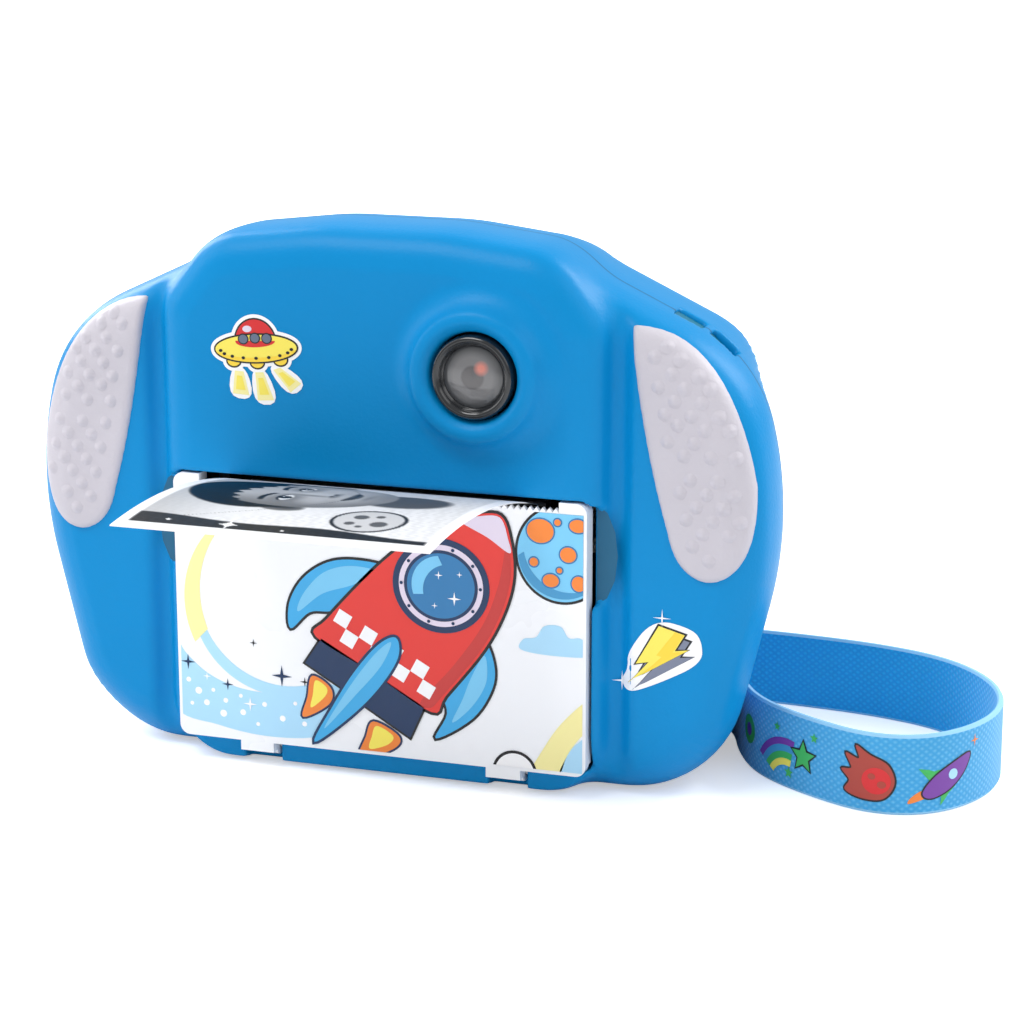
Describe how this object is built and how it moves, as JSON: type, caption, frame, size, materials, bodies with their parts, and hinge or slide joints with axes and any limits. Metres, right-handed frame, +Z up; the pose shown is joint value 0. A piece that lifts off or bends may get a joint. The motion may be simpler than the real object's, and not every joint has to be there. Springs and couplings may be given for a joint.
{
  "type": "instant print camera",
  "caption": "Rounded compact camera with a ringed lens, a hinged paper door over a roll printer, side grips, rear screen and keys, and a flat wrist strap.",
  "frame": {"origin": "on the underside, half way between the front and back faces of the centre panel, on the middle plane", "axes": "+X to the right seen from the front, -Y out of the front face, +Z up"},
  "size_m": [0.181, 0.1186, 0.1028],
  "materials": {
    "body_blue": "soft gloss",
    "grip": "satin overmould",
    "lens_black": "gloss",
    "clear": "clear",
    "dark_plastic": "matt",
    "board": "matt",
    "ribbon": "satin",
    "door_white": "printed gloss",
    "steel": "satin",
    "roller_rubber": "matt",
    "gear_plastic": "satin",
    "head_plate": "satin",
    "paper": "smooth paper",
    "lcd": "gloss",
    "battery_silver": "foil",
    "button_white": "soft gloss",
    "webbing": "woven"
  },
  "bodies": {
    "case": {"front_shell": "body_blue", "rear_shell": "body_blue", "right_grip": "grip", "left_grip": "grip", "lens_bezel": "lens_black", "lens_window": "clear", "lens_barrel": "dark_plastic", "lens_element": "clear", "camera_board": "board", "camera_ribbon": "ribbon", "hinge_pins": "steel", "feed_motor": "steel", "head_pivot_pin": "steel", "head_spring": "steel", "chassis": "dark_plastic", "paper_web": "paper", "paper_strip": "paper", "main_board": "board", "lcd_panel": "lcd", "lcd_window": "clear", "battery": "battery_silver", "processor_can": "steel", "speaker": "dark_plastic", "switches": "dark_plastic", "usb_socket": "steel", "card_socket": "steel", "case_screws": "steel", "strap_webbing": "webbing", "strap_clamp": "lens_black", "strap_ring": "steel"},
    "door": {"paper_door": "door_white", "platen_bushes": "dark_plastic"},
    "platen": {"platen_roller": "roller_rubber", "platen_shaft": "steel", "platen_gear": "gear_plastic"},
    "idler": {"idler_gear": "gear_plastic"},
    "motor_rotor": {"motor_pinion": "steel", "motor_shaft": "steel"},
    "head": {"print_head": "head_plate"},
    "roll": {"paper_roll": "paper", "roll_core": "dark_plastic"},
    "shutter": {"shutter_button": "button_white"},
    "ok": {"ok_button": "button_white"},
    "print_key": {"print_button": "button_white"},
    "play_key": {"play_button": "button_white"},
    "power_key": {"power_button": "button_white"},
    "pad": {"nav_pad": "button_white"},
    "cover": {"port_cover": "body_blue"}
  },
  "joints": [
    {"name": "door_hinge", "type": "hinge", "parent": "case", "child": "door", "pos_m": [0, -0.0247, 0.0039], "axis": [1, 0, 0], "range_deg": [0, 90]},
    {"name": "platen_spin", "type": "hinge", "parent": "door", "child": "platen", "pos_m": [0, -0.0217, 0.0494], "axis": [1, 0, 0], "continuous": true},
    {"name": "idler_spin", "type": "hinge", "parent": "case", "child": "idler", "pos_m": [0, -0.0117, 0.0494], "axis": [1, 0, 0], "continuous": true},
    {"name": "rotor_spin", "type": "hinge", "parent": "case", "child": "motor_rotor", "pos_m": [0, -0.0032, 0.0494], "axis": [1, 0, 0], "continuous": true},
    {"name": "roll_spin", "type": "hinge", "parent": "case", "child": "roll", "pos_m": [0, -0.0059, 0.02], "axis": [1, 0, 0], "continuous": true},
    {"name": "head_tilt", "type": "hinge", "parent": "case", "child": "head", "pos_m": [0, -0.0151, 0.0422], "axis": [-1, 0, 0], "range_deg": [0, 2], "stiffness_Nm_per_rad": 0.5, "springref_deg": -2.86},
    {"name": "shutter_press", "type": "slide", "parent": "case", "child": "shutter", "axis": [0, -1, 0], "range_m": [0, 0.0008], "stiffness_N_per_m": 400, "springref_m": -0.0005},
    {"name": "ok_press", "type": "slide", "parent": "case", "child": "ok", "axis": [0, -1, 0], "range_m": [0, 0.0008], "stiffness_N_per_m": 400, "springref_m": -0.0005},
    {"name": "print_press", "type": "slide", "parent": "case", "child": "print_key", "axis": [0, -1, 0], "range_m": [0, 0.0008], "stiffness_N_per_m": 400, "springref_m": -0.0005},
    {"name": "play_press", "type": "slide", "parent": "case", "child": "play_key", "axis": [0, -1, 0], "range_m": [0, 0.0008], "stiffness_N_per_m": 400, "springref_m": -0.0005},
    {"name": "power_press", "type": "slide", "parent": "case", "child": "power_key", "axis": [0, -1, 0], "range_m": [0, 0.0008], "stiffness_N_per_m": 400, "springref_m": -0.0005},
    {"name": "pad_press", "type": "slide", "parent": "case", "child": "pad", "axis": [0, -1, 0], "range_m": [0, 0.0008], "stiffness_N_per_m": 400, "springref_m": -0.0005},
    {"name": "port_cover_hinge", "type": "hinge", "parent": "case", "child": "cover", "pos_m": [0.00975, 0.02765, 0.024], "axis": [0, 0, 1], "range_deg": [0, 90]}
  ],
  "couplings": [
    {"joint": "idler_spin", "follows": "platen_spin", "ratio": -0.66667},
    {"joint": "rotor_spin", "follows": "platen_spin", "ratio": 1.6},
    {"joint": "roll_spin", "follows": "platen_spin", "ratio": -0.3158}
  ]
}
